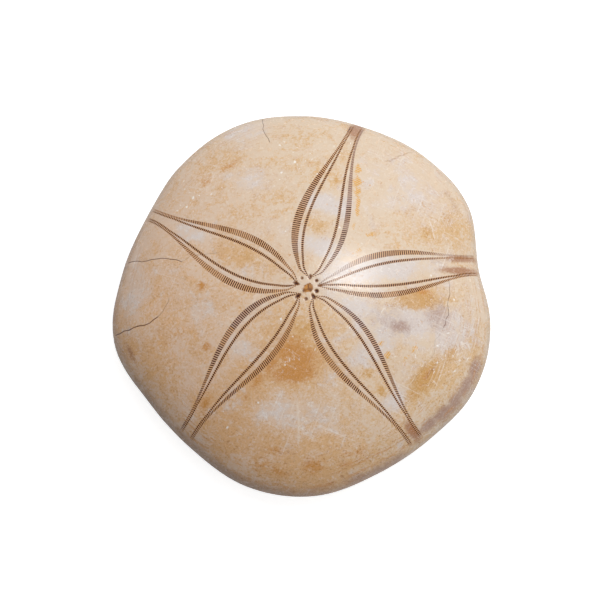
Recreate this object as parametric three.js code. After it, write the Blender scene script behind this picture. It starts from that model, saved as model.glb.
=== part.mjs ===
// A polished fossil sand dollar: the domed shell of a flattened sea urchin, turned to solid stone.
// Millimetres, +Z up. The flat underside lies on z = 0 under the middle of the shell's outline.
// +X points to the front of the animal, where the margin has a shallow notch.
import * as THREE from 'three';
import { mergeVertices } from 'three/addons/utils/BufferGeometryUtils.js';

// Driving dimensions
const HEIGHT = 26; // underside to the top of the dome
const MARGIN_HEIGHT = 7.2; // the widest line stands this far above the underside
const SHOULDER_FLATTENING = 0.15; // how much flatter than an ellipse the dome's shoulders are
const UNDERSIDE_SHARE = 0.86; // the margin rounds in to this share of the outline before it lies flat

// Distance from the dome's top to the margin, every 20 degrees from the front notch, counter-clockwise from above
const MARGIN_RADII = [
  41.7, 45.3, 45.5, 45.1, 45.8, 46.5, 45.3, 43.7, 44.9,
  47.0, 44.6, 44.5, 46.3, 46.3, 44.2, 43.7, 44.9, 44.0,
];
const MEAN_RADIUS = MARGIN_RADII.reduce((sum, radius) => sum + radius) / MARGIN_RADII.length;

// The mouth, filled with stone, in a shallow dish under the dome's top. Shares are of the margin's radius
const DISH_SHARE = 0.36;
const MOUTH_RIM_SHARE = 0.1;
const MOUTH_RIM_HEIGHT = 0.9;
const MOUTH_FLOOR_SHARE = 0.06;
const MOUTH_FLOOR_HEIGHT = 2.6;

// Facets
const SECTORS = 72;
const DOME_STEPS = 16;
const MARGIN_STEPS = 5;
const UNDERSIDE_SHARES = [MOUTH_FLOOR_SHARE, MOUTH_RIM_SHARE, 0.18, 0.27, DISH_SHARE];

const STONE = new THREE.MeshStandardMaterial({ color: 0xdcc3a4, roughness: 0.35, metalness: 0 });

// Distance from the dome's top to the margin at any bearing: a smooth curve through MARGIN_RADII
function marginRadius(bearing) {
  const count = MARGIN_RADII.length;
  const turn = bearing / (2 * Math.PI);
  const place = (turn - Math.floor(turn)) * count;
  const index = Math.floor(place);
  const t = place - index;
  const [before, from, to, after] = [-1, 0, 1, 2].map((step) => MARGIN_RADII[(index + step + count) % count]);
  const slopeFrom = (to - before) / 2;
  const slopeTo = (after - from) / 2;
  const bend = from - to;
  return from + slopeFrom * t
    - (3 * bend + 2 * slopeFrom + slopeTo) * t ** 2
    + (2 * bend + slopeFrom + slopeTo) * t ** 3;
}

// Height of the underside above the surface it lies on, from the flat ring in to the mouth's floor
function undersideHeight(share) {
  if (share >= DISH_SHARE) return 0;
  if (share >= MOUTH_RIM_SHARE) {
    return MOUTH_RIM_HEIGHT * ((DISH_SHARE - share) / (DISH_SHARE - MOUTH_RIM_SHARE)) ** 2;
  }
  return MOUTH_FLOOR_HEIGHT;
}

// The half section from the mouth to the dome's top: x is a share of the margin's radius, y is a height
function sectionPoints() {
  const points = [new THREE.Vector2(0, MOUTH_FLOOR_HEIGHT)];
  for (const share of UNDERSIDE_SHARES) {
    points.push(new THREE.Vector2(share, undersideHeight(share)));
  }
  for (let step = 0; step < MARGIN_STEPS; step++) {
    const angle = (Math.PI / 2) * (step / MARGIN_STEPS);
    const share = UNDERSIDE_SHARE + (1 - UNDERSIDE_SHARE) * Math.sin(angle);
    points.push(new THREE.Vector2(share, MARGIN_HEIGHT * (1 - Math.cos(angle))));
  }
  for (let step = 0; step < DOME_STEPS; step++) {
    const angle = (Math.PI / 2) * (step / DOME_STEPS);
    const share = Math.cos(angle);
    const rise = Math.sin(angle) * (1 - SHOULDER_FLATTENING * share ** 2 * Math.sin(angle));
    points.push(new THREE.Vector2(share, MARGIN_HEIGHT + (HEIGHT - MARGIN_HEIGHT) * rise));
  }
  points.push(new THREE.Vector2(0, HEIGHT));
  return points;
}

// The section is turned round the axis, then stretched: round near the axis, to the real outline at the margin
function shellGeometry() {
  const turned = new THREE.LatheGeometry(sectionPoints(), SECTORS);
  turned.rotateX(Math.PI / 2);
  turned.deleteAttribute('normal');
  turned.deleteAttribute('uv');
  const geometry = mergeVertices(turned);
  const position = geometry.getAttribute('position');
  for (let i = 0; i < position.count; i++) {
    const x = position.getX(i);
    const y = position.getY(i);
    const share = Math.hypot(x, y);
    const stretch = MEAN_RADIUS + (marginRadius(Math.atan2(y, x)) - MEAN_RADIUS) * share ** 2;
    position.setXY(i, x * stretch, y * stretch);
  }
  geometry.computeBoundingBox();
  const middle = geometry.boundingBox.getCenter(new THREE.Vector3());
  geometry.translate(-middle.x, -middle.y, 0);
  geometry.computeVertexNormals();
  return geometry;
}

const shell = new THREE.Mesh(shellGeometry(), STONE);
shell.name = 'shell';

const sandDollar = new THREE.Group();
sandDollar.add(shell);

export default sandDollar;
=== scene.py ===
import math

import bmesh
import bpy
import numpy as np
from mathutils import Matrix, Vector


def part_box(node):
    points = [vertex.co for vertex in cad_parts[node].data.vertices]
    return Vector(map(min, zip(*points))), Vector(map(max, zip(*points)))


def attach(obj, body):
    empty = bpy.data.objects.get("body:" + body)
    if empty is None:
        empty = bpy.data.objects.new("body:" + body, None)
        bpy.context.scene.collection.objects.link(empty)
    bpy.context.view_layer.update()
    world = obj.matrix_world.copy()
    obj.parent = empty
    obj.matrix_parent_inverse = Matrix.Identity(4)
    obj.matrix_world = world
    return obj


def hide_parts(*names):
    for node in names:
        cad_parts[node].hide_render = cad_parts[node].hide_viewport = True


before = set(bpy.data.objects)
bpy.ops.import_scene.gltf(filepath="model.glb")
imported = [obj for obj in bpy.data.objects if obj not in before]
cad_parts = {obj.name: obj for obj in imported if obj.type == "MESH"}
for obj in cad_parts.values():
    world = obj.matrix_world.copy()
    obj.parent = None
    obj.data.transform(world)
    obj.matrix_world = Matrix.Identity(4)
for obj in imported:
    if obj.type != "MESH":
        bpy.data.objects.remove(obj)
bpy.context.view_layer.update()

# The shell, one solid piece: a sand dollar's domed case that filled with sediment and turned to stone,
# then was ground and polished by hand. It is widest at a rounded margin, notched at the front (+X),
# and lies on a flat underside with the mouth in a shallow dish. Lengths here are in millimetres.
MM = 0.001
shell_low, shell_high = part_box("shell")
HEIGHT = shell_high.z / MM
MARGIN_HEIGHT = 7.2
SHOULDER_FLATTENING = 0.15
UNDERSIDE_SHARE = 0.86
DISH_SHARE = 0.36
MOUTH_RIM_SHARE = 0.1
MOUTH_RIM_HEIGHT = 0.9
MOUTH_FLOOR_SHARE = 0.06
MOUTH_FLOOR_HEIGHT = 2.6

# Distance from the dome's top to the margin, every 20 degrees from the front notch,
# counter-clockwise from above
MARGIN_RADII = np.array([
    41.7, 45.3, 45.5, 45.1, 45.8, 46.5, 45.3, 43.7, 44.9,
    47.0, 44.6, 44.5, 46.3, 46.3, 44.2, 43.7, 44.9, 44.0,
])
MARGIN_STEP = 2 * math.pi / len(MARGIN_RADII)
MEAN_RADIUS = MARGIN_RADII.mean()


def margin_radius(bearing):
    """Distance from the dome's top to the margin at any bearing: a smooth curve through MARGIN_RADII."""
    place = bearing / MARGIN_STEP
    index = np.floor(place).astype(int)
    t = place - index
    before, here, there, after = (
        MARGIN_RADII[(index + step) % len(MARGIN_RADII)] for step in (-1, 0, 1, 2)
    )
    slope_here = (there - before) / 2
    slope_there = (after - here) / 2
    bend = here - there
    return (
        here
        + slope_here * t
        - (3 * bend + 2 * slope_here + slope_there) * t ** 2
        + (2 * bend + slope_here + slope_there) * t ** 3
    )


def outline_radius(share, bearing):
    """Distance from the axis: round near the dome's top, and the real outline at the margin."""
    return share * (MEAN_RADIUS + (margin_radius(bearing) - MEAN_RADIUS) * share ** 2)


def smooth_step(value, low, high):
    """0 below low, 1 above high, and a smooth rise between them."""
    t = np.clip((value - low) / (high - low), 0, 1)
    return t * t * (3 - 2 * t)


def underside_height(share):
    """The flat ring, the dish that rises inward from it, and the mouth's floor."""
    dish = np.clip((DISH_SHARE - share) / (DISH_SHARE - MOUTH_RIM_SHARE), 0, 1) ** 2 * MOUTH_RIM_HEIGHT
    floor = 1 - smooth_step(share, MOUTH_FLOOR_SHARE, MOUTH_RIM_SHARE)
    return dish + (MOUTH_FLOOR_HEIGHT - dish) * floor


# One meridian, as a dense line: down the dome, round the margin, and in along the underside to the mouth
dome_angle = np.linspace(math.pi / 2, 0, 1500)
dome_share = np.cos(dome_angle)
dome_rise = np.sin(dome_angle) * (1 - SHOULDER_FLATTENING * dome_share ** 2 * np.sin(dome_angle))
margin_angle = np.linspace(0, math.pi / 2, 301)[1:]
under_share = np.linspace(UNDERSIDE_SHARE, 0, 801)[1:]
line_share = np.concatenate([
    dome_share,
    UNDERSIDE_SHARE + (1 - UNDERSIDE_SHARE) * np.cos(margin_angle),
    under_share,
])
line_height = np.concatenate([
    MARGIN_HEIGHT + (HEIGHT - MARGIN_HEIGHT) * dome_rise,
    MARGIN_HEIGHT * (1 - np.sin(margin_angle)),
    underside_height(under_share),
])
line_steps = np.hypot(np.diff(line_share) * MEAN_RADIUS, np.diff(line_height))
line_run = np.concatenate([[0], np.cumsum(line_steps)])
MARGIN_RUN = line_run[len(dome_share) - 1]
FLAT_RUN = line_run[len(dome_share) + len(margin_angle) - 1]
DISH_RUN = FLAT_RUN + (UNDERSIDE_SHARE - DISH_SHARE) * MEAN_RADIUS
WHOLE_RUN = line_run[-1]

# The outline's own middle stands over the middle of the shell's box
around = np.linspace(0, 2 * math.pi, 720, endpoint=False)
outline_x = outline_radius(1.0, around) * np.cos(around)
outline_y = outline_radius(1.0, around) * np.sin(around)
TOP_X = (shell_low.x + shell_high.x) / 2 / MM - (outline_x.min() + outline_x.max()) / 2
TOP_Y = (shell_low.y + shell_high.y) / 2 / MM - (outline_y.min() + outline_y.max()) / 2

# Petals: five on the dome, from the top to the margin, each edged by two double rows of pores.
# tip and margin are the bearings of the middle line's two ends, and bow its bend between them, in degrees.
# swell is how far the sides bulge, widest the share of the way out where they do, and end half the width
# at the margin. rows and tones are for the clockwise side and the other one: how broad the row of slits is,
# and how dark its plates are, 0 amber to 1 mauve
PETALS = [
    dict(
        tip=0.0, margin=-0.5, bow=-0.8, swell=4.4, widest=0.40, end=2.45,
        rows=(0.80, 0.88), tones=(0.45, 0.75),
    ),
    dict(
        tip=68.5, margin=61.8, bow=0.1, swell=5.9, widest=0.33, end=1.57,
        rows=(0.82, 1.3), tones=(1.0, 0.55),
    ),
    dict(
        tip=149.1, margin=139.1, bow=-1.1, swell=5.9, widest=0.36, end=1.58,
        rows=(1.0, 1.05), tones=(0.15, 0.4),
    ),
    dict(
        tip=204.4, margin=216.8, bow=2.3, swell=5.7, widest=0.36, end=1.87,
        rows=(1.02, 0.85), tones=(0.6, 0.45),
    ),
    dict(
        tip=291.5, margin=295.0, bow=0.0, swell=5.6, widest=0.34, end=1.88,
        rows=(0.88, 0.73), tones=(0.4, 0.65),
    ),
]
TIP_SHARE = 0.055
GATHERING_SHARE = 0.048
BLADE_SHARE = 0.1
PORES_END_SHARE = 0.985
PORES = 92
PINCH = 0.97
PETAL_FULLNESS = 3.65
NECK_FLARE = 0.3
NECK_LENGTH = 0.05
ROWS_APART = 2.2
ROWS_APART_LEAST = 0.5
SLITS_AT_TOP = 0.1
SLITS_GAIN = 0.12
SLITS_SWELL = 0.68
PORES_AT_TOP = 0.225
PORES_SWELL = 0.135
ROW_HALF_MOST = 0.48


def swelling(share, widest, fullness):
    """A hump over the meridian: 0 at both ends and 1 at its widest place."""
    rising = (share / widest) ** (fullness * widest)
    falling = ((1 - share) / (1 - widest)) ** (fullness * (1 - widest))
    return rising * falling


def row_edges(petal, along, breadth):
    """Distances from a petal's middle to the edges of the two rows on one side, from the outside in."""
    blade = np.maximum(along, BLADE_SHARE)
    outer_row = -PINCH + (petal["end"] + PINCH) * blade
    outer_row += petal["swell"] * swelling(blade, petal["widest"], PETAL_FULLNESS)
    outer_row += NECK_FLARE * np.exp(-((blade - BLADE_SHARE) / NECK_LENGTH) ** 2)
    inner_row = outer_row - np.maximum(ROWS_APART * swelling(blade, 0.39, 3.2), ROWS_APART_LEAST)
    gathered = np.clip((along - GATHERING_SHARE) / (BLADE_SHARE - GATHERING_SHARE), 0, 1)
    outer_row = outer_row * gathered
    inner_row = inner_row * gathered
    outer_half = SLITS_AT_TOP + SLITS_GAIN * blade + SLITS_SWELL * breadth * swelling(blade, 0.4, 6.0)
    inner_half = PORES_AT_TOP + PORES_SWELL * swelling(blade, 0.42, 5.0)
    most = ROW_HALF_MOST * (outer_row - inner_row)
    outer_half = np.minimum(outer_half * np.sqrt(gathered), most)
    inner_half = np.minimum(inner_half * np.sqrt(gathered), most)
    return [
        outer_row + outer_half, outer_row - outer_half,
        inner_row + inner_half, np.maximum(inner_row - inner_half, 0),
    ]


def petal_lines(petal, share):
    """Bearings of nine lines along a petal, from its clockwise edge to its other edge.

    Each side has the outer row of slits, a plain strip and the inner row of pores.
    The fifth line is the middle.
    """
    along = np.clip(share, TIP_SHARE, 1)
    middle = petal["margin"] + (petal["tip"] - petal["margin"]) * (1 - along)
    middle = np.radians(middle + petal["bow"] * 4 * along * (1 - along))
    reach = outline_radius(along, middle)
    clockwise, counter = (row_edges(petal, along, breadth) for breadth in petal["rows"])
    before_middle = [middle - edge / reach for edge in clockwise]
    after_middle = [middle + edge / reach for edge in counter[::-1]]
    return before_middle + [middle] + after_middle


# Zones round the shell, with the cells that each gets: 0 to 1 is the row of slits, 1 to 2 the strip,
# 2 to 3 the row of pores, 3 to 4 the petal's middle, and 0 to -1 the plain stone between two petals
ZONE_ENDS = [0, 1, 2, 3, 4, 3, 2, 1, 0, -1]
ZONE_CELLS = [4, 2, 3, 4, 4, 3, 2, 4, 18, 18]
CELLS_PER_PETAL = sum(ZONE_CELLS)
CELLS = CELLS_PER_PETAL * len(PETALS)
APICAL_RINGS = 12
RINGS_PER_PORE = 2
MARGIN_RINGS = 18
FLAT_RINGS = 16
DISH_RINGS = 20
FIRST_FLAT_RING = APICAL_RINGS + PORES * RINGS_PER_PORE + MARGIN_RINGS

# Pores stand closer together near the top than at the margin
WIDENING = 0.06
dome_run = line_run[:len(dome_share)]
tip_run, pores_end_run = np.interp([TIP_SHARE, PORES_END_SHARE], dome_share, dome_run)
pore_steps = np.linspace(0, 1, PORES * RINGS_PER_PORE, endpoint=False)
pore_places = (1 - WIDENING) * pore_steps + WIDENING * pore_steps ** 4
ring_run = np.concatenate([
    np.linspace(0, tip_run, APICAL_RINGS, endpoint=False),
    tip_run + (pores_end_run - tip_run) * pore_places,
    np.linspace(pores_end_run, FLAT_RUN, MARGIN_RINGS, endpoint=False),
    np.linspace(FLAT_RUN, DISH_RUN, FLAT_RINGS, endpoint=False),
    np.linspace(DISH_RUN, WHOLE_RUN, DISH_RINGS + 1),
])
LAST_RING = len(ring_run) - 1

# A straight line of edges, one for each ring, spun into a fifth of a flat disc; four turned copies
# close the disc, and its rim is then gathered at the mouth
FIFTH = 2 * math.pi / len(PETALS)
disc = bmesh.new()
spoke = disc.edges.new([disc.verts.new((0, 0, 0)), disc.verts.new((LAST_RING, 0, 0))])
bmesh.ops.subdivide_edges(disc, edges=[spoke], cuts=LAST_RING - 1)
bmesh.ops.spin(
    disc, geom=disc.verts[:] + disc.edges[:], cent=(0, 0, 0), axis=(0, 0, 1),
    angle=FIFTH, steps=CELLS_PER_PETAL,
)
first_fifth = disc.verts[:] + disc.edges[:] + disc.faces[:]
for turn in range(1, len(PETALS)):
    copy = bmesh.ops.duplicate(disc, geom=first_fifth)["geom"]
    copied = [part for part in copy if isinstance(part, bmesh.types.BMVert)]
    bmesh.ops.rotate(disc, verts=copied, cent=(0, 0, 0), matrix=Matrix.Rotation(turn * FIFTH, 3, "Z"))
bmesh.ops.remove_doubles(disc, verts=disc.verts[:], dist=0.001)
rim = [vertex for vertex in disc.verts if vertex.is_boundary]
bmesh.ops.pointmerge(disc, verts=rim, merge_co=(LAST_RING, 0, 0))
shell_mesh = bpy.data.meshes.new("sand_dollar")
disc.to_mesh(shell_mesh)
disc.free()

# Each vertex's ring and cell on the disc say where on the shell it belongs
flat_place = np.empty(len(shell_mesh.vertices) * 3)
shell_mesh.vertices.foreach_get("co", flat_place)
flat_place = flat_place.reshape(-1, 3)
ring = np.rint(np.hypot(flat_place[:, 0], flat_place[:, 1])).astype(int)
flat_angle = np.arctan2(flat_place[:, 1], flat_place[:, 0])
cell = np.rint(flat_angle / (2 * math.pi / CELLS)).astype(int) % CELLS
petal_of = cell // CELLS_PER_PETAL
zone_of_cell = []
part_of_cell = []
for start, end, cells in zip(ZONE_ENDS, ZONE_ENDS[1:] + ZONE_ENDS[:1], ZONE_CELLS):
    zone_of_cell += list(np.linspace(start, end, cells, endpoint=False))
    part_of_cell += list(np.linspace(0, 1, cells, endpoint=False))
zone_index = np.searchsorted(np.cumsum(ZONE_CELLS), cell % CELLS_PER_PETAL, side="right")
zone = np.array(zone_of_cell)[cell % CELLS_PER_PETAL]
zone_part = np.array(part_of_cell)[cell % CELLS_PER_PETAL]

# Slits lean outward and away from the top, so the rings are sheared across the outer rows.
# The lean grows and fades over a number of rings
SLIT_LEAN = 0.6
LEAN_LEAD = 4
LEAN_RINGS = 60
LAST_PORE_RING = APICAL_RINGS + PORES * RINGS_PER_PORE
lean = np.clip(1 - np.abs(zone), 0, 1)
lean *= smooth_step(ring, APICAL_RINGS - LEAN_LEAD, APICAL_RINGS + LEAN_RINGS)
lean *= 1 - smooth_step(ring, LAST_PORE_RING - LEAN_RINGS, LAST_PORE_RING)
run = ring_run[ring] + SLIT_LEAN * lean
share = np.interp(run, line_run, line_share)
height = np.interp(run, line_run, line_height)
on_top = run <= MARGIN_RUN
petal_share = np.where(on_top, share, 1.0)

# The bearing of each vertex, between the two lines that bound its zone
lines_of_petals = [petal_lines(petal, petal_share) for petal in PETALS]
for index, lines in enumerate(lines_of_petals):
    following = lines_of_petals[(index + 1) % len(PETALS)][0]
    if index == len(PETALS) - 1:
        following = following + 2 * math.pi
    lines += [(lines[-1] + following) / 2, following]
stacked = np.array(lines_of_petals)
vertex_index = np.arange(len(cell))
line_before = stacked[petal_of, zone_index, vertex_index]
line_after = stacked[petal_of, zone_index + 1, vertex_index]
bearing = line_before + (line_after - line_before) * zone_part
radius = outline_radius(share, bearing)
plan_x = TOP_X + radius * np.cos(bearing)
plan_y = TOP_Y + radius * np.sin(bearing)


def place_vertices(mesh, x, y, z):
    """Moves every vertex to its place, given in millimetres."""
    mesh.vertices.foreach_set("co", np.stack([x, y, z], axis=1).ravel() * MM)
    mesh.update()


place_vertices(shell_mesh, plan_x, plan_y, height)
outward = np.empty(len(cell) * 3)
shell_mesh.vertices.foreach_get("normal", outward)
outward = outward.reshape(-1, 3)
if outward[ring == 0][0][2] < 0:
    outward = -outward

# Relief, in millimetres outward: slits and pores on every second ring, and slow waves left by hand grinding
SLIT_DEPTH = 0.018
PORE_DEPTH = 0.03
WAVE_HEIGHT = 0.06
pore_count = (ring - APICAL_RINGS) / RINGS_PER_PORE
on_pore = (ring - APICAL_RINGS) % RINGS_PER_PORE == 0
in_rows = (ring >= APICAL_RINGS) & (ring < LAST_PORE_RING)
slit_profile = np.clip(np.sin(math.pi * np.clip(zone, 0, 1)) * 1.6, 0, 1)
pore_profile = np.clip(np.sin(math.pi * np.clip(zone - 2, 0, 1)) * 1.4, 0, 1)
relief = -(SLIT_DEPTH * slit_profile + PORE_DEPTH * pore_profile) * (on_pore & in_rows)
lengthwise_wave = np.sin(plan_x * 0.31 + 1.7 * np.sin(plan_y * 0.17))
crosswise_wave = np.sin(plan_y * 0.27 + 0.8)
relief += WAVE_HEIGHT * lengthwise_wave * crosswise_wave * on_top

# Marks at the top, each with its x, y, half length, half width, turn in degrees and strength:
# four genital pores, an eye pit drawn out along each petal, and the sieve plate in the middle
GENITAL_PORES = [
    (1.2, 2.2, 0.40, 0.40, 0, 0.50), (4.4, 0.9, 0.34, 0.34, 0, 0.85),
    (3.9, -1.5, 0.40, 0.40, 0, 1.0), (1.1, -2.8, 0.38, 0.38, 0, 0.68),
]
EYE_PITS = [
    (5.0, -0.4, 0.60, 0.28, -2, 0.60), (3.1, 2.1, 0.55, 0.34, 68, 0.75),
    (-0.36, 1.25, 0.65, 0.32, 149, 0.9), (-0.57, -1.72, 0.65, 0.34, 204, 0.95),
    (2.9, -2.6, 0.60, 0.32, 291, 0.95),
]
SIEVE_PLATE = [(TOP_X + 0.1, TOP_Y - 0.15, 1.3, 1.1, 30, 1.0)]
PIT_DEPTH = 0.14
PLATE_RISE = 0.04
STAIN_WRAP = 3.0
EDGE_FALL = 0.7


def stain(spots):
    """How strongly a group of marks colours each vertex.

    It is full at the middle of a mark, half at its edge, and fades out just below the margin.
    """
    amount = np.zeros(len(cell))
    for x, y, half_length, half_width, turn, strength in spots:
        angle = math.radians(turn)
        along = ((plan_x - x) * math.cos(angle) + (plan_y - y) * math.sin(angle)) / half_length
        across = ((plan_y - y) * math.cos(angle) - (plan_x - x) * math.sin(angle)) / half_width
        amount = np.maximum(amount, strength * np.exp(-EDGE_FALL * (along ** 2 + across ** 2)))
    return amount * (1 - smooth_step(run, MARGIN_RUN, MARGIN_RUN + STAIN_WRAP))


pits = stain(GENITAL_PORES + EYE_PITS)
sieve_plate = stain(SIEVE_PLATE)
relief -= PIT_DEPTH * pits
relief += PLATE_RISE * sieve_plate

# Underside: five shallow grooves that led food to the mouth, and the vent, a round pit near the rear margin
GROOVE_DEPTH = 0.25
GROOVE_HALF_WIDTH = 0.9
GROOVE_STARTS = (0.07, 0.13)
GROOVE_ENDS = (0.4, 0.7)
VENT_BEARING = math.radians(178)
VENT_SHARE = 0.76
VENT_RADIUS = 1.5
VENT_DEPTH = 0.7
under = run > FLAT_RUN
grooves = np.zeros(len(cell))
for petal in PETALS:
    aside = (bearing - math.radians(petal["margin"]) + math.pi) % (2 * math.pi) - math.pi
    groove = np.exp(-(aside * radius / GROOVE_HALF_WIDTH) ** 2) * (np.abs(aside) < 1)
    grooves = np.maximum(grooves, groove)
grooves *= smooth_step(share, *GROOVE_STARTS) * (1 - smooth_step(share, *GROOVE_ENDS)) * under
vent_x = TOP_X + outline_radius(VENT_SHARE, VENT_BEARING) * math.cos(VENT_BEARING)
vent_y = TOP_Y + outline_radius(VENT_SHARE, VENT_BEARING) * math.sin(VENT_BEARING)
vent = np.exp(-(np.hypot(plan_x - vent_x, plan_y - vent_y) / VENT_RADIUS) ** 4) * under
relief -= GROOVE_DEPTH * grooves + VENT_DEPTH * vent
place_vertices(
    shell_mesh,
    plan_x + outward[:, 0] * relief,
    plan_y + outward[:, 1] * relief,
    height + outward[:, 2] * relief,
)

# A flat map of the surface: the dome and margin on one disc, and the underside, seen from below,
# on a smaller one in the opposite corner
UPPER_REACH = 0.4
LOWER_REACH = 0.17
MAP_BORDER = 0.01
UPPER_MIDDLE = MAP_BORDER + UPPER_REACH
LOWER_MIDDLE = 1 - MAP_BORDER - LOWER_REACH
corner = np.empty(len(shell_mesh.loops), dtype=np.int32)
first_corner = np.empty(len(shell_mesh.polygons), dtype=np.int32)
corner_count = np.empty(len(shell_mesh.polygons), dtype=np.int32)
shell_mesh.loops.foreach_get("vertex_index", corner)
shell_mesh.polygons.foreach_get("loop_start", first_corner)
shell_mesh.polygons.foreach_get("loop_total", corner_count)
last_ring_of_face = np.maximum.reduceat(ring[corner], first_corner)
on_upper_disc = np.repeat(last_ring_of_face <= FIRST_FLAT_RING, corner_count)
upper_run = (run / FLAT_RUN * UPPER_REACH)[corner]
lower_run = ((WHOLE_RUN - run) / (WHOLE_RUN - FLAT_RUN) * LOWER_REACH)[corner]
forward = np.cos(bearing)[corner]
sideways = np.sin(bearing)[corner]
map_u = np.where(on_upper_disc, UPPER_MIDDLE + upper_run * forward, LOWER_MIDDLE + lower_run * forward)
map_v = np.where(on_upper_disc, UPPER_MIDDLE + upper_run * sideways, LOWER_MIDDLE - lower_run * sideways)
bake_map = shell_mesh.uv_layers.new(name="OFBake")
bake_map.data.foreach_set("uv", np.stack([map_u, map_v], axis=1).ravel())

# Stains, areas of wear, and rows faded partly by wear and partly as a painted highlight: x, y, half length,
# half width, turn in degrees, strength
AMBER_AREAS = [
    (-8.0, -36.0, 11.5, 7.0, -12, 0.75), (0.0, -42.8, 15.0, 2.6, 8, 0.9),
    (-2.8, -14.0, 9.5, 7.5, 10, 1.15), (-16.0, -19.0, 10.5, 4.2, 33, 1.0),
    (-11.6, 10.8, 7.7, 3.0, -44, 0.9), (-28.6, 4.2, 11.0, 8.0, -17, 0.45),
    (-12.4, 35.0, 7.5, 4.0, 25, 0.35), (-16.7, 31.3, 2.9, 2.9, 39, 0.45),
    (7.0, 38.6, 9.1, 2.2, -20, 0.2), (38.4, 8.4, 3.3, 7.2, -82, 0.7),
    (32.0, 13.0, 7.0, 4.5, 20, 0.35), (38.0, -19.8, 1.8, 8.7, -3, 0.6),
    (28.7, -7.4, 4.8, 2.6, -8, 1.0), (25.9, -25.7, 8.1, 3.2, 31, 0.9),
    (-23.1, -29.7, 6.6, 3.6, -47, 0.6), (5.3, -39.2, 6.4, 3.0, 8, 0.45),
    (7.9, 13.1, 2.3, 2.5, -12, 0.65), (13.9, 24.1, 1.4, 2.1, -11, 0.6),
    (18.3, 29.5, 1.9, 1.9, -10, 0.6), (-26.7, -20.8, 1.8, 3.6, 45, 0.9),
    (19.3, -17.3, 2.3, 1.8, -10, 0.5), (-37.7, -9.9, 6.4, 6.3, -19, 0.5),
    (-41.5, -1.0, 3.0, 9.0, 0, 0.5), (11.9, -21.8, 2.1, 2.0, -10, 0.7),
    (13.7, -26.7, 2.1, 1.6, -10, 0.7), (5.4, -20.0, 3.0, 6.0, -20, 0.6),
    (2.4, -14.0, 3.0, 4.0, -20, 0.8),
]
LILAC_AREAS = [
    (7.3, 8.9, 2.4, 5.1, 64, 0.8), (12.1, 18.1, 2.2, 5.6, 59, 0.75),
    (19.5, 0.3, 10.9, 2.4, -5, 0.85), (25.6, -13.6, 11.4, 7.9, -8, 0.57),
    (10.9, -17.4, 2.7, 9.4, -69, 0.5), (16.0, -29.3, 2.0, 3.3, -70, 0.7),
    (-6.4, -26.9, 9.7, 3.2, -12, 0.35), (-6.2, 28.6, 4.2, 2.6, -14, 0.5),
    (30.7, 17.7, 9.4, 7.5, -41, 0.4), (-14.8, -11.0, 2.3, 8.5, 37, 0.4),
    (-21.5, 19.1, 6.1, 2.2, -45, 0.55), (-26.0, 1.0, 5.2, 3.3, -15, 0.35),
    (11.0, -5.9, 5.5, 2.6, -31, 0.65), (-4.0, 42.7, 6.0, 3.4, 9, 0.4),
    (-39.0, 7.6, 3.0, 4.9, -22, 0.4),
]
OCHRE_STAINS = [
    (26.4, -7.6, 4.6, 2.3, -8, 0.95), (21.6, -7.0, 4.0, 1.0, -4, 0.4),
    (24.6, -25.9, 6.0, 2.2, 38, 0.95), (31.2, -21.6, 3.0, 1.6, 40, 0.55),
    (-9.8, 10.1, 4.6, 1.5, 138, 0.5), (7.9, 13.1, 1.4, 0.9, 60, 0.5),
    (14.2, 24.4, 1.0, 0.7, 60, 0.6), (11.4, -22.4, 1.5, 1.1, -50, 0.7),
    (14.0, -27.0, 1.4, 1.0, -60, 0.75), (-0.8, -9.6, 3.6, 3.0, 60, 0.6),
    (37.6, 10.5, 2.4, 3.2, 0, 0.45), (27.5, 17.6, 2.2, 2.8, 10, 0.45),
    (31.6, 14.2, 4.6, 1.8, 20, 0.42), (32.8, 7.7, 2.4, 2.0, 0, 0.5),
    (24.5, 14.0, 2.0, 1.4, 0, 0.35),
]
ORANGE_DABS = [
    (19.7, 26.2, 1.7, 0.8, 65, 0.95), (19.1, 23.2, 1.6, 0.8, 70, 0.9),
    (18.4, 20.5, 1.3, 0.7, 70, 0.85), (18.0, 17.8, 1.5, 0.7, 75, 0.9),
    (17.3, 15.7, 1.2, 0.7, 75, 0.85), (15.7, 12.0, 0.9, 0.5, 70, 0.6),
    (18.9, 9.4, 1.2, 0.5, 20, 0.5), (15.8, 6.2, 1.3, 0.5, 20, 0.5),
    (16.1, -16.3, 0.8, 0.6, 30, 0.8), (17.1, -18.9, 0.9, 0.6, 60, 0.85),
    (23.4, -18.6, 1.6, 0.6, 45, 0.6), (20.9, -20.5, 1.3, 0.5, 30, 0.6),
]
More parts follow.
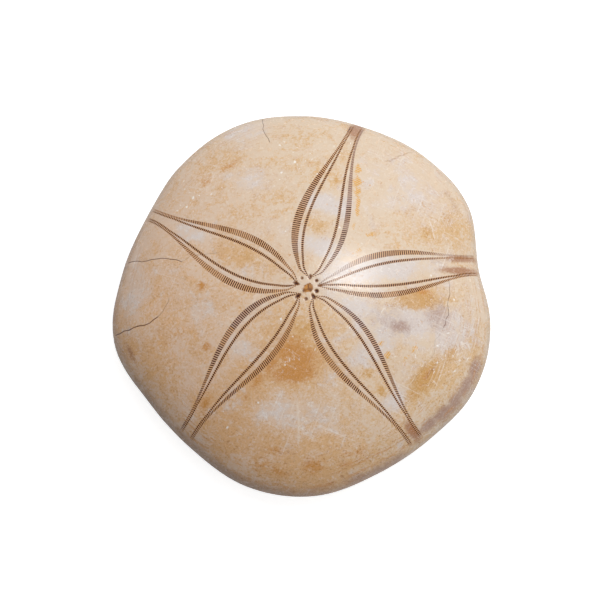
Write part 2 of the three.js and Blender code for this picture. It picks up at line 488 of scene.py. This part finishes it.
IRON_STAINS = [
    (-5.0, -13.6, 4.0, 3.2, 30, 0.85), (-3.2, -16.2, 4.4, 3.6, 0, 0.9),
    (-5.0, -18.8, 4.6, 2.2, -8, 1.05), (-9.8, -16.2, 2.8, 1.3, 42, 0.7),
    (-13.9, -18.8, 2.4, 1.0, 38, 0.65), (-17.0, -21.6, 1.8, 0.7, 34, 0.5),
    (-26.9, -21.0, 2.0, 1.0, 50, 0.75), (-21.9, 6.0, 1.2, 0.9, 20, 0.9),
    (-23.6, -8.2, 1.2, 0.9, 0, 0.8), (-29.8, -4.2, 2.6, 1.6, 0, 0.45),
    (-5.1, -39.9, 2.4, 1.6, 0, 0.75), (-13.0, -34.9, 2.4, 1.2, -12, 0.5),
    (5.2, -39.1, 3.0, 1.4, 0, 0.5), (-15.9, 31.4, 2.8, 1.2, 48, 0.6),
    (-10.0, 33.8, 3.0, 0.9, 22, 0.5), (28.4, -6.0, 1.8, 0.6, -10, 0.8),
    (25.0, -25.2, 2.2, 0.8, 40, 0.55), (19.6, -36.9, 1.5, 0.5, -60, 0.7),
    (-17.0, -36.9, 3.0, 1.0, -30, 0.5), (-13.4, -39.5, 2.6, 0.9, -25, 0.5),
    (2.4, -41.0, 3.2, 0.9, 5, 0.45), (-3.6, -44.4, 3.0, 0.6, 0, 0.5),
]
BROWN_STAINS = [
    (-41.4, -4.8, 3.0, 0.6, -75, 0.75), (-34.6, -1.4, 2.2, 1.2, 0, 0.35),
    (11.4, 38.5, 6.5, 1.4, -15, 0.2), (39.3, 0.9, 4.0, 0.75, -3, 1.1),
    (38.2, -1.9, 4.4, 0.8, -6, 1.2), (21.9, 37.2, 2.8, 1.5, 62, 1.2),
    (26.4, -24.4, 2.8, 0.5, 42, 0.65), (19.4, -36.6, 2.3, 1.2, -65, 1.3),
    (-34.4, 24.9, 2.2, 1.2, 140, 0.5), (33.6, 0.9, 2.6, 0.7, -5, 0.5),
]
MAUVE_STAINS = [
    (21.1, -13.1, 2.6, 1.7, -20, 0.85), (19.6, -11.4, 5.8, 3.4, -20, 0.42),
    (31.1, -12.0, 3.6, 3.4, 60, 0.6), (36.9, -25.1, 3.2, 1.2, 55, 1.0),
    (34.2, -28.5, 3.2, 1.2, 48, 1.0), (30.9, -31.4, 3.2, 1.2, 40, 1.0),
    (27.4, -33.8, 3.2, 1.2, 32, 1.0), (23.7, -35.7, 3.2, 1.1, 26, 1.0),
    (5.6, -44.3, 3.0, 0.9, 6, 0.7), (10.0, -43.4, 3.2, 0.9, 12, 0.8),
    (14.5, -42.0, 3.0, 0.9, 20, 0.75), (40.4, 15.5, 4.5, 1.0, 110, 0.4),
]
WORN_AREAS = [
    (-4.6, -14.8, 4.6, 3.6, 0, 1.3), (-20.7, 25.8, 5.0, 3.0, 40, 1.0),
    (6.7, 33.0, 6.0, 4.0, -40, 0.9), (18.4, 33.2, 2.6, 1.8, 0, 0.9),
    (28.6, -24.5, 6.0, 4.0, 30, 0.8), (9.7, -12.1, 3.0, 1.6, -60, 0.7),
    (-6.4, -5.9, 2.0, 1.4, 40, 0.8), (-12.0, -36.0, 6.0, 3.0, 0, 0.5),
    (-13.6, 27.4, 3.0, 1.4, 20, 0.9), (1.7, 26.4, 2.6, 1.6, 45, 0.8),
    (7.1, 29.3, 2.0, 1.6, 0, 0.9), (-21.1, 25.9, 1.6, 2.6, 20, 1.1),
]
VEINED_AREAS = [
    (31.0, -17.0, 8.0, 9.0, 0, 1.0), (25.6, -25.0, 9.0, 4.0, 31, 1.0),
    (-5.0, -29.0, 10.0, 6.0, -12, 0.8), (37.0, 3.0, 5.0, 14.0, 0, 0.7),
    (18.0, -8.0, 6.0, 5.0, 0, 0.6), (26.0, 26.0, 10.0, 10.0, 0, 0.5),
    (-4.0, -15.0, 6.0, 6.0, 0, 0.6),
]
# Rows faded partly by wear and partly as a painted highlight, where the polish shines on the right petal
WORN_AND_HIGHLIGHT_AREAS = [
    (10.0, 2.2, 5.5, 1.6, 20, 0.6), (13.5, 4.2, 4.5, 1.2, 18, 0.3),
    (39.0, 2.0, 7.0, 1.2, 0, 0.6),
]


def keep_mark(name, values):
    """Stores one number for each vertex, for the material to read by its name."""
    layer = shell_mesh.attributes.new(name, "FLOAT", "POINT")
    layer.data.foreach_set("value", np.asarray(values, dtype=np.float32))


# The rows grew plate by plate, a few pores at a time, and each plate took up the stain in its own way
TONE_STRAY = 0.35
FEWEST_PORES = 4
MOST_PORES = 12
random = np.random.default_rng(7)
plate_tone = np.zeros(len(cell))
pore_index = np.clip(np.floor(pore_count + 0.5), 0, PORES).astype(int)
for index, petal in enumerate(PETALS):
    for side, tone in enumerate(petal["tones"]):
        tones = []
        while len(tones) <= PORES:
            own_tone = tone + random.uniform(-TONE_STRAY, TONE_STRAY)
            tones += [own_tone] * random.integers(FEWEST_PORES, MOST_PORES + 1)
        on_side = (petal_of == index) & ((zone_index >= 4) == (side == 1))
        plate_tone[on_side] = np.clip(tones, 0, 1)[pore_index[on_side]]

keep_mark("zone", zone)
keep_mark("pore_count", pore_count)
keep_mark("plate_tone", plate_tone)
keep_mark("share", np.where(on_top, share, 2 - share))
keep_mark("pits", pits)
keep_mark("sieve_plate", sieve_plate)
keep_mark("grooves", np.maximum(grooves, vent))
STAIN_GROUPS = dict(
    amber=AMBER_AREAS, lilac=LILAC_AREAS, ochre=OCHRE_STAINS, dabs=ORANGE_DABS, iron=IRON_STAINS,
    brown=BROWN_STAINS, mauve=MAUVE_STAINS, worn=WORN_AREAS, veined=VEINED_AREAS, worn_and_highlight=WORN_AND_HIGHLIGHT_AREAS,
)
for name, spots in STAIN_GROUPS.items():
    keep_mark(name, stain(spots))
keep_mark("crack", np.zeros(len(cell)))

# Cracks, cut into the mesh as fine grooves: x and y along each, how dark it is, and half its width
CRACKS = [
    ([(-37.9, 17.3), (-33.3, 15.8), (-28.8, 14.9), (-25.4, 13.0)], 0.75, 0.15),
    ([(-25.4, 13.0), (-22.8, 14.0), (-16.4, 12.8)], 0.4, 0.1),
    ([(-44.3, 0.9), (-39.6, 0.9), (-35.7, 0.7), (-33.5, 1.6)], 0.9, 0.18),
    ([(-33.5, 1.6), (-32.2, 2.4), (-31.2, 3.6), (-30.0, 5.3)], 0.5, 0.12),
    ([(0.7, 45.3), (0.1, 42.0), (0.2, 40.9), (0.9, 37.7)], 0.65, 0.13),
    ([(35.2, -3.6), (34.7, -7.4), (33.6, -9.8), (33.3, -12.2), (31.3, -15.0)], 0.6, 0.14),
    ([(31.3, -15.0), (28.5, -18.2), (28.1, -20.3)], 0.3, 0.12),
    ([(28.1, -20.3), (26.6, -21.8), (20.8, -26.6)], 0.3, 0.12),
]
CRACK_DEPTH = 0.12
CRACK_STEP = 1.2
CRACK_STRAY = 0.24
STRIP_OVERLAP = 1.2
STRIP_HALF_WIDTH = 1.5
SEARCH_BORDER = 2.0


def wander(path):
    """The path in short steps, each a little off the straight line, as stone breaks."""
    points = [Vector((*path[0], 0))]
    for start, end in zip(path, path[1:]):
        start = Vector((*start, 0))
        end = Vector((*end, 0))
        way = end - start
        aside = Vector((-way.y, way.x, 0)).normalized()
        pieces = max(1, round(way.length / CRACK_STEP))
        for piece in range(1, pieces + 1):
            offset = random.uniform(-CRACK_STRAY, CRACK_STRAY) if piece < pieces else 0
            points.append(start.lerp(end, piece / pieces) + aside * offset)
    return points


def from_path(place, points):
    """Distance in plan from a place to a path."""
    nearest = math.inf
    for start, end in zip(points, points[1:]):
        way = end - start
        along = min(1.0, max(0.0, (place - start).dot(way) / way.length_squared))
        nearest = min(nearest, (place - start - way * along).length)
    return nearest


stone = bmesh.new()
stone.from_mesh(shell_mesh)
crack_layer = stone.verts.layers.float["crack"]


def in_plan(place):
    """A place straight down on the plan, in millimetres."""
    return Vector((place.x / MM, place.y / MM, 0))


for path, darkness, half_width in CRACKS:
    points = wander(path)
    reach = max((point - points[0]).length for point in points) + SEARCH_BORDER
    beside = [
        face for face in stone.faces
        if face.normal.z > 0 and (in_plan(face.calc_center_median()) - points[0]).length < reach
    ]
    for start, end in zip(points, points[1:]):
        way = (end - start).normalized()
        aside = Vector((-way.y, way.x, 0))
        strip_end = (end - start).length + STRIP_OVERLAP
        for offset in (-half_width, 0, half_width):
            strip = []
            for face in beside:
                middle = in_plan(face.calc_center_median()) - start
                within = -STRIP_OVERLAP < middle.dot(way) < strip_end
                if within and abs(middle.dot(aside)) < STRIP_HALF_WIDTH:
                    strip += [face, *face.edges, *face.verts]
            cut = bmesh.ops.bisect_plane(
                stone, geom=list(dict.fromkeys(strip)), dist=1e-7,
                plane_co=(start + aside * offset) * MM, plane_no=aside,
            )
            cut_faces = [part for part in cut["geom"] if isinstance(part, bmesh.types.BMFace)]
            beside = list(dict.fromkeys([face for face in beside if face.is_valid] + cut_faces))
    for vertex in dict.fromkeys(vertex for face in beside for vertex in face.verts):
        distance = from_path(in_plan(vertex.co), points)
        amount = darkness * max(0.0, 1 - distance / half_width)
        if amount > 0:
            vertex[crack_layer] = max(vertex[crack_layer], amount)
            vertex.co -= vertex.normal * CRACK_DEPTH * amount * MM
bmesh.ops.recalc_face_normals(stone, faces=stone.faces[:])
for face in stone.faces:
    face.smooth = True
stone.to_mesh(shell_mesh)
stone.free()

# Polished stone: cream calcite, clouded lilac and amber, with iron stains, dark pores and fine veins
fossil = bpy.data.materials.new("polished_fossil")
fossil.use_nodes = True
tree = fossil.node_tree
shader = tree.nodes["Principled BSDF"]


def feed(node, socket, value):
    """Links a node's output to a socket, or sets the socket to a plain value."""
    if isinstance(value, bpy.types.NodeSocket):
        tree.links.new(value, node.inputs[socket])
    else:
        node.inputs[socket].default_value = value


def mark(name):
    """One of the numbers kept at the vertices."""
    node = tree.nodes.new("ShaderNodeAttribute")
    node.attribute_name = name
    return node.outputs["Fac"]


def calc(operation, first, second=0.0):
    """One step of arithmetic on one or two numbers."""
    node = tree.nodes.new("ShaderNodeMath")
    node.operation = operation
    feed(node, 0, first)
    feed(node, 1, second)
    return node.outputs[0]


def ease(value, low, high):
    """0 below low, 1 above high, and a smooth rise between them."""
    node = tree.nodes.new("ShaderNodeMapRange")
    node.interpolation_type = "SMOOTHSTEP"
    feed(node, "Value", value)
    feed(node, "From Min", low)
    feed(node, "From Max", high)
    return node.outputs["Result"]


def paint(amount, under, over, mode="MIX"):
    """The colour under, with the colour over laid on it by amount."""
    node = tree.nodes.new("ShaderNodeMix")
    node.data_type = "RGBA"
    node.blend_type = mode
    feed(node, 0, amount)
    feed(node, 6, under)
    feed(node, 7, over)
    return node.outputs[2]


surface_place = tree.nodes.new("ShaderNodeTexCoord").outputs["Object"]


def stretched(turn, scale):
    """The place on the stone along turned axes, scaled for a pattern that runs one way."""
    node = tree.nodes.new("ShaderNodeMapping")
    node.vector_type = "TEXTURE"
    feed(node, "Vector", surface_place)
    feed(node, "Rotation", turn)
    feed(node, "Scale", [1 / factor for factor in scale])
    return node.outputs["Vector"]


def clouds(scale, detail=3.0, roughness=0.5, distortion=0.0, vector=None):
    """A soft, irregular pattern between 0 and 1; a larger scale makes it finer."""
    node = tree.nodes.new("ShaderNodeTexNoise")
    feed(node, "Vector", vector or surface_place)
    feed(node, "Scale", scale)
    feed(node, "Detail", detail)
    feed(node, "Roughness", roughness)
    feed(node, "Distortion", distortion)
    return node.outputs["Fac"]


def times(*values):
    """The product of several masks."""
    product = values[0]
    for value in values[1:]:
        product = calc("MULTIPLY", product, value)
    return product


def spread(*weighted):
    """A weighted sum of cloud patterns about their middle value, so that 0 changes nothing."""
    total = 0.0
    for pattern, weight in weighted:
        total = calc("ADD", total, calc("MULTIPLY", calc("SUBTRACT", pattern, 0.5), weight))
    return total


def plus(*values):
    """The sum of several masks."""
    total = values[0]
    for value in values[1:]:
        total = calc("ADD", total, value)
    return total


def less(value, taken):
    """One mask with another taken off it."""
    return calc("SUBTRACT", value, taken)


def bands(value, scale, detail=3.0):
    """A pattern that changes only along one number."""
    node = tree.nodes.new("ShaderNodeTexNoise")
    node.noise_dimensions = "1D"
    feed(node, "W", value)
    feed(node, "Scale", scale)
    feed(node, "Detail", detail)
    return node.outputs["Fac"]


def specks(scale, size, chosen, vector=None, raggedness=0.0):
    """Small spots of uneven size, one in some of the cells of a loose net."""
    node = tree.nodes.new("ShaderNodeTexVoronoi")
    feed(node, "Vector", vector or surface_place)
    feed(node, "Scale", scale)
    picked = tree.nodes.new("ShaderNodeSeparateColor")
    feed(picked, 0, node.outputs["Color"])
    from_middle = plus(node.outputs["Distance"], spread((flecks, raggedness)))
    near_enough = ease(less(times(picked.outputs[1], size), from_middle), 0.0, 0.06)
    return times(near_enough, ease(picked.outputs[0], chosen, plus(chosen, 0.02)))


def veins(pattern, width):
    """Thin lines where a cloud pattern passes its middle value."""
    return less(1.0, ease(calc("ABSOLUTE", less(pattern, 0.5)), 0.0, width))


CREAM = (0.69, 0.55, 0.415, 1)
IVORY = (0.76, 0.665, 0.57, 1)
AMBER = (0.655, 0.43, 0.225, 1)
LILAC = (0.66, 0.585, 0.55, 1)
OCHRE = (0.58, 0.325, 0.11, 1)
ORANGE = (0.70, 0.36, 0.06, 1)
IRON = (0.55, 0.245, 0.06, 1)
FLECK = (0.58, 0.32, 0.11, 1)
RUST = (0.33, 0.13, 0.035, 1)
BROWN = (0.36, 0.16, 0.08, 1)
TAN = (0.42, 0.225, 0.12, 1)
MAUVE = (0.38, 0.235, 0.185, 1)
ROW_AMBER = (0.68, 0.33, 0.12, 1)
ROW_MAUVE = (0.46, 0.27, 0.20, 1)
SLIT_BROWN = (0.055, 0.013, 0.008, 1)
PIT_BROWN = (0.20, 0.07, 0.016, 1)
CRACK_BROWN = (0.13, 0.055, 0.035, 1)
CHALK = (0.85, 0.81, 0.77, 1)
SHADE_PEACH = (1.0, 0.91, 0.9, 1)

zone_mark = mark("zone")
share_mark = mark("share")
broad = clouds(60, 4, 0.55, 0.5)
wisps = clouds(210, 6, 0.65, 0.8)
crumbs = clouds(760, 4, 0.68, 0.5)
flecks = clouds(1300, 4, 0.7, 0.6)
grain = clouds(2400, 2, 0.6)
veil = clouds(130, 5, 0.6, 0.9, stretched((0.4, 0.9, 0.2), (1, 1, 1)))

# The right flank (-Y) is painted more amber than the left, and the rear, away from the lamps, is tinted
# pinker and darker as painted shade
axes = tree.nodes.new("ShaderNodeSeparateXYZ")
feed(axes, 0, surface_place)
warmth = ease(times(axes.outputs["Y"], -1.0), -0.012, 0.036)
amber_amount = plus(
    times(mark("amber"), 0.9), times(warmth, 0.12),
    spread((broad, 0.8), (wisps, 2.2), (crumbs, 2.4), (flecks, 1.2), (grain, 0.8)),
)
colour = paint(ease(amber_amount, -0.25, 0.75), CREAM, AMBER)
colour = paint(times(ease(spread((veil, 1.6), (crumbs, 0.9)), 0.02, 0.45), 0.4), colour, IVORY)
# Painted shade: the rear, the side away from the lamps, is multiplied pinker and darker
to_shaded_rear = plus(times(axes.outputs["X"], -0.97), times(axes.outputs["Y"], -0.26))
colour = paint(ease(to_shaded_rear, -0.02, 0.035), colour, SHADE_PEACH, "MULTIPLY")
pale_amount = plus(
    times(mark("lilac"), 1.1),
    spread((veil, 1.6), (wisps, 1.4), (crumbs, 1.4), (flecks, 0.8)),
)
colour = paint(times(ease(pale_amount, 0.05, 0.75), 0.95), colour, LILAC)
colour = paint(times(ease(flecks, 0.56, 0.66), ease(amber_amount, -0.1, 0.5), 0.4), colour, FLECK)
colour = paint(times(ease(less(1.0, flecks), 0.56, 0.68), 0.35), colour, IVORY)


def broken(name, low, high, raggedness=1.0):
    """A stain with its edge broken up by the stone's own mottling."""
    mottling = spread((wisps, 0.7), (crumbs, 0.9), (grain, 0.4))
    return ease(plus(mark(name), times(mottling, raggedness)), low, high)


colour = paint(times(broken("ochre", 0.25, 0.68, 1.1), 0.85), colour, OCHRE)
colour = paint(times(broken("iron", 0.15, 0.85, 1.3), 0.9), colour, IRON)
colour = paint(times(broken("brown", 0.18, 0.95), 0.8), colour, BROWN)
colour = paint(times(broken("mauve", 0.1, 0.95, 0.9), 0.85), colour, MAUVE)

# The margin is painted tan, partly the stone's own colour and partly painted shade, which is heaviest at
# the rear right, away from the lamps; faint growth lines run along it, and rust fills the small pits of the
# surface
uneven_share = plus(share_mark, spread((wisps, 0.02), (broad, 0.06)))
growth = times(
    ease(bands(uneven_share, 75), 0.5, 0.65), ease(share_mark, 0.66, 0.9), ease(veil, 0.42, 0.6),
)
to_rear_right = plus(times(axes.outputs["X"], -0.84), times(axes.outputs["Y"], -0.545))
painted_rear_shade = ease(to_rear_right, 0.0, 0.035)
tan_and_shade_band = times(
    ease(share_mark, 0.95, 1.0), less(1.0, ease(share_mark, 1.002, 1.02)),
    ease(spread((veil, 1.2), (wisps, 1.6), (crumbs, 1.2)), -0.5, 0.2),
)
# Painted shade: the tan is laid on far more thickly at the rear right, the side away from the lamps
colour = paint(times(tan_and_shade_band, plus(0.12, times(painted_rear_shade, 0.7))), colour, TAN)
colour = paint(times(growth, ease(crumbs, 0.36, 0.56), plus(0.3, times(warmth, 0.35))), colour, IRON)
rust_grain = times(ease(grain, 0.55, 0.7), ease(amber_amount, 0.0, 0.7))
pepper = plus(0.3, times(ease(share_mark, 0.7, 0.9), warmth, 0.25))
rust_dots = times(specks(900, 0.42, 0.8), ease(amber_amount, 0.25, 0.9))
colour = paint(times(calc("MAXIMUM", rust_grain, rust_dots), pepper), colour, RUST)
colour = paint(times(ease(less(1.0, grain), 0.58, 0.75), 0.25), colour, CHALK)

# Pale veins, three thin seams, and the fine scratches that polishing left in two directions
veined = times(veins(clouds(120, 3, 0.6, 1.2), 0.012), mark("veined"), ease(wisps, 0.4, 0.6))
colour = paint(times(veined, 0.7), colour, CHALK)
hairlines = times(
    veins(clouds(330, 2, 0.5, 1.6), 0.009), ease(plus(mark("veined"), pale_amount), 0.3, 0.9),
)
colour = paint(times(hairlines, ease(crumbs, 0.4, 0.6), 0.7), colour, CHALK)


def seam(x, y, turn, half_length, half_width):
    """A thin, slightly crooked line on the stone; lengths in millimetres and the turn in degrees."""
    node = tree.nodes.new("ShaderNodeMapping")
    node.vector_type = "TEXTURE"
    feed(node, "Vector", surface_place)
    feed(node, "Location", (x * MM, y * MM, 0))
    feed(node, "Rotation", (0, 0, math.radians(turn)))
    place = tree.nodes.new("ShaderNodeSeparateXYZ")
    feed(place, 0, node.outputs["Vector"])
    aside = calc("ABSOLUTE", plus(place.outputs["Y"], spread((wisps, 2.2 * MM), (crumbs, 0.5 * MM))))
    along = calc("ABSOLUTE", place.outputs["X"])
    across = less(1.0, ease(aside, 0.3 * half_width * MM, half_width * MM))
    return times(across, less(1.0, ease(along, 0.6 * half_length * MM, half_length * MM)))


colour = paint(times(seam(-6.5, -30.5, 78, 6.0, 0.4), 0.45), colour, IVORY)
colour = paint(times(seam(30.4, 28.4, 15, 4.4, 0.25), 0.35), colour, RUST)
colour = paint(times(seam(33.9, 8.5, 92, 3.0, 0.25), 0.4), colour, CHALK)
scratches = calc(
    "MAXIMUM",
    clouds(1, 2, 0.5, 0.0, stretched((0.1, 0, 1.0), (80, 3200, 80))),
    clouds(1, 2, 0.5, 0.0, stretched((0, 0.1, -0.6), (80, 3200, 80))),
)
scratched = plus(times(ease(veil, 0.45, 0.6), 0.2), times(mark("veined"), 0.3))
colour = paint(times(ease(scratches, 0.6, 0.74), scratched), colour, CHALK)

# Rows of pores: strokes on amber or mauve plates, dots in the inner rows, and a clean pale strip
# between them; dabs of orange stand beside some rows
plate_mark = mark("plate_tone")
# The rows are left out where worn, and where a painted highlight washes them out
on_rows = times(
    ease(share_mark, 0.048, 0.056), ease(less(1.0, share_mark), 0.015, 0.05), less(1.0, mark("worn_and_highlight")),
)
in_slits = times(ease(zone_mark, -0.008, 0.05), ease(less(1.0, zone_mark), -0.04, 0.06), on_rows)
in_strip = times(ease(zone_mark, 1.0, 1.15), ease(less(2.0, zone_mark), 0.0, 0.15), on_rows)
across_pores = times(less(zone_mark, 2.5), 2.0)
pore_fill = less(1.0, times(across_pores, across_pores))
wave = calc("COSINE", times(mark("pore_count"), 2 * math.pi))
uneven = spread((crumbs, 0.9), (wisps, 0.6))
dab_ragged = plus(mark("dabs"), spread((wisps, 1.0), (crumbs, 1.6), (flecks, 1.0)))
dab_streaks = times(ease(dab_ragged, 0.25, 0.7), plus(0.3, times(ease(wave, -0.4, 0.3), 0.7)))
colour = paint(dab_streaks, colour, ORANGE)
plate_colour = paint(ease(plate_mark, 0.5, 1.0), ROW_AMBER, ROW_MAUVE)
colour = paint(times(in_strip, 0.2), colour, LILAC)
colour = paint(times(in_slits, 0.6), colour, plate_colour)
stroke_depth = times(
    plus(0.75, times(ease(plate_mark, 0.1, 0.4), 0.25)),
    less(1.0, times(ease(plate_mark, 0.9, 1.0), 0.35)),
)
strokes = times(in_slits, ease(plus(wave, uneven), -0.25, 0.15), stroke_depth)
colour = paint(strokes, colour, SLIT_BROWN)
in_pores = times(ease(pore_fill, 0.0, 0.2), on_rows)
colour = paint(times(in_pores, 0.65), colour, ROW_AMBER)
open_ends = times(ease(share_mark, 0.62, 0.85), 0.2)
dots = ease(less(plus(wave, pore_fill, times(uneven, 0.6)), open_ends), 0.1, 0.5)
colour = paint(times(in_pores, dots, 0.97), colour, SLIT_BROWN)

# The sieve plate, the pits, the cracks, a painted reflection as a paler line at the margin, and the dull
# stone under it
plate_edge = ease(plus(mark("sieve_plate"), spread((crumbs, 1.3))), 0.4, 0.65)
colour = paint(plate_edge, colour, paint(ease(crumbs, 0.4, 0.6), IRON, PIT_BROWN))
pit_mark = mark("pits")
colour = paint(times(ease(pit_mark, 0.15, 0.4), 0.9), colour, PIT_BROWN)
colour = paint(ease(pit_mark, 0.5, 0.8), colour, SLIT_BROWN)
colour = paint(times(ease(mark("crack"), 0.05, 0.7), 0.9), colour, CRACK_BROWN)
# Painted reflection: a faint pale lilac line along the margin, where the floor would shine in the polish
painted_rim_reflection = times(ease(share_mark, 0.985, 1.0), less(1.0, ease(share_mark, 1.001, 1.01)))
colour = paint(times(painted_rim_reflection, 0.15), colour, LILAC)
beneath = ease(plus(share_mark, spread((wisps, 0.1), (broad, 0.08))), 1.06, 1.17)
under_mottling = spread((broad, 1.2), (wisps, 1.8), (crumbs, 1.8))
under_colour = paint(ease(under_mottling, -0.45, 0.45), TAN, AMBER)
under_colour = paint(times(specks(700, 0.5, 0.25), 0.35), under_colour, CREAM)
under_colour = paint(times(ease(mark("grooves"), 0.1, 0.8), 0.6), under_colour, BROWN)
under_colour = paint(ease(share_mark, 1.9, 1.93), under_colour, BROWN)
colour = paint(times(beneath, 0.9), colour, under_colour)

# White chips and short scratches where the surface is worn
worn = mark("worn")
chips = calc(
    "MAXIMUM",
    specks(800, 0.26, 0.45, raggedness=1.1),
    specks(480, 0.22, 0.5, stretched((0.2, 0.1, 0.9), (1, 2.6, 1)), 0.9),
)
stray_chips = specks(480, 0.17, 0.88, raggedness=0.5)
all_chips = calc("MAXIMUM", times(chips, ease(worn, 0.2, 0.7)), stray_chips)
colour = paint(times(all_chips, 0.8), colour, CHALK)
feed(shader, "Base Color", colour)
feed(shader, "Roughness", plus(0.17, times(crumbs, 0.18), times(beneath, 0.25)))
feed(shader, "IOR", 1.5)

bump = tree.nodes.new("ShaderNodeBump")
feed(bump, "Height", plus(times(grain, 0.4), crumbs, times(beneath, specks(700, 0.6, 0.2))))
feed(bump, "Distance", 0.0001)
feed(bump, "Strength", 0.2)
feed(shader, "Normal", bump.outputs["Normal"])

sand_dollar = bpy.data.objects.new("sand_dollar", shell_mesh)
shell_mesh.materials.append(fossil)
bpy.context.scene.collection.objects.link(sand_dollar)
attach(sand_dollar, "root")
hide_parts("shell")

# The floor: a plain white board under the shell, as in a studio, lit until it shows no edge.
# It lies a hair below the shell, so that the two surfaces don't meet
FLOOR_SIZE = 4.0
FLOOR_GAP = 0.00005
FLOOR_GREY = (0.6, 0.6, 0.6, 1)
FLOOR_GLOW = 0.8
board = bmesh.new()
bmesh.ops.create_grid(board, x_segments=1, y_segments=1, size=FLOOR_SIZE / 2)
bmesh.ops.translate(board, verts=board.verts[:], vec=(0, 0, -FLOOR_GAP))
board_mesh = bpy.data.meshes.new("floor")
board.to_mesh(board_mesh)
board.free()
white = bpy.data.materials.new("white_board")
white.use_nodes = True
board_shader = white.node_tree.nodes["Principled BSDF"]
board_shader.inputs["Base Color"].default_value = FLOOR_GREY
board_shader.inputs["Roughness"].default_value = 0.9
board_shader.inputs["Emission Color"].default_value = (1, 1, 1, 1)
seen = white.node_tree.nodes.new("ShaderNodeLightPath").outputs["Is Camera Ray"]
glow = white.node_tree.nodes.new("ShaderNodeMath")
glow.operation = "MULTIPLY"
glow.inputs[1].default_value = FLOOR_GLOW
white.node_tree.links.new(seen, glow.inputs[0])
white.node_tree.links.new(glow.outputs[0], board_shader.inputs["Emission Strength"])
board_mesh.materials.append(white)
floor = bpy.data.objects.new("floor", board_mesh)
bpy.context.scene.collection.objects.link(floor)

# Studio light: a key lamp and a broad one at the shell's front left, fills at the rear left and the
# front right, one overhead, and a dim white room. A small lamp beside the key makes the highlight
# in the polish and lights nothing else
LAMP_DISTANCE = 1.2
ROOM_GLOW = 0.03
middle_of_shell = Vector((0, 0, 10 * MM))


def softbox(name, elevation, bearing_degrees, size, power, mirrored=False):
    """A square lamp aimed at the shell, mirrored in its polish or not."""
    lamp = bpy.data.lights.new(name, "AREA")
    lamp.shape = "SQUARE"
    lamp.size = size
    lamp.energy = power
    rig = bpy.data.objects.new(name, lamp)
    up = math.radians(elevation)
    turn = math.radians(bearing_degrees)
    way = Vector((math.cos(up) * math.cos(turn), math.cos(up) * math.sin(turn), math.sin(up)))
    rig.location = middle_of_shell + way * LAMP_DISTANCE
    rig.rotation_euler = way.to_track_quat("Z", "Y").to_euler()
    rig.visible_glossy = mirrored
    bpy.context.scene.collection.objects.link(rig)
    return rig


softbox("key", elevation=66, bearing_degrees=30, size=0.32, power=4.8)
glint = softbox("glint", elevation=68.6, bearing_degrees=34, size=0.18, power=2.2, mirrored=True)
glint.visible_diffuse = False
softbox("broad", elevation=45, bearing_degrees=45, size=1.5, power=9.4)
softbox("rear_left", elevation=30, bearing_degrees=115, size=0.9, power=3.6)
softbox("front_right", elevation=30, bearing_degrees=315, size=0.9, power=4.2)
softbox("overhead", elevation=89, bearing_degrees=0, size=1.2, power=3.3)
room = bpy.data.worlds.new("room")
room.use_nodes = True
backdrop = room.node_tree.nodes["Background"]
backdrop.inputs["Color"].default_value = (1, 1, 1, 1)
backdrop.inputs["Strength"].default_value = ROOM_GLOW
bpy.context.scene.world = room
bpy.context.scene.view_settings.view_transform = "Standard"
# The denoiser smears the pore rows unless it takes the surface's colours as they are
bpy.context.scene.cycles.denoising_prefilter = "NONE"

# The camera: nearly overhead, a little towards the shell's right flank, from far off
CAMERA_TARGET = Vector((0.42, 0.78, 7.2)) * MM
CAMERA_DISTANCE = 0.7
CAMERA_ELEVATION = math.radians(79)
CAMERA_AZIMUTH = math.radians(-12)
SENSOR_WIDTH = 36
FOCAL_LENGTH = 176.1
lens = bpy.data.cameras.new("camera")
lens.sensor_width = SENSOR_WIDTH
lens.lens = FOCAL_LENGTH
camera = bpy.data.objects.new("camera", lens)
back = Vector((
    math.sin(CAMERA_AZIMUTH) * math.cos(CAMERA_ELEVATION),
    -math.cos(CAMERA_AZIMUTH) * math.cos(CAMERA_ELEVATION),
    math.sin(CAMERA_ELEVATION),
))
camera.location = CAMERA_TARGET + back * CAMERA_DISTANCE
camera.rotation_euler = back.to_track_quat("Z", "Y").to_euler()
bpy.context.scene.collection.objects.link(camera)
bpy.context.scene.camera = camera
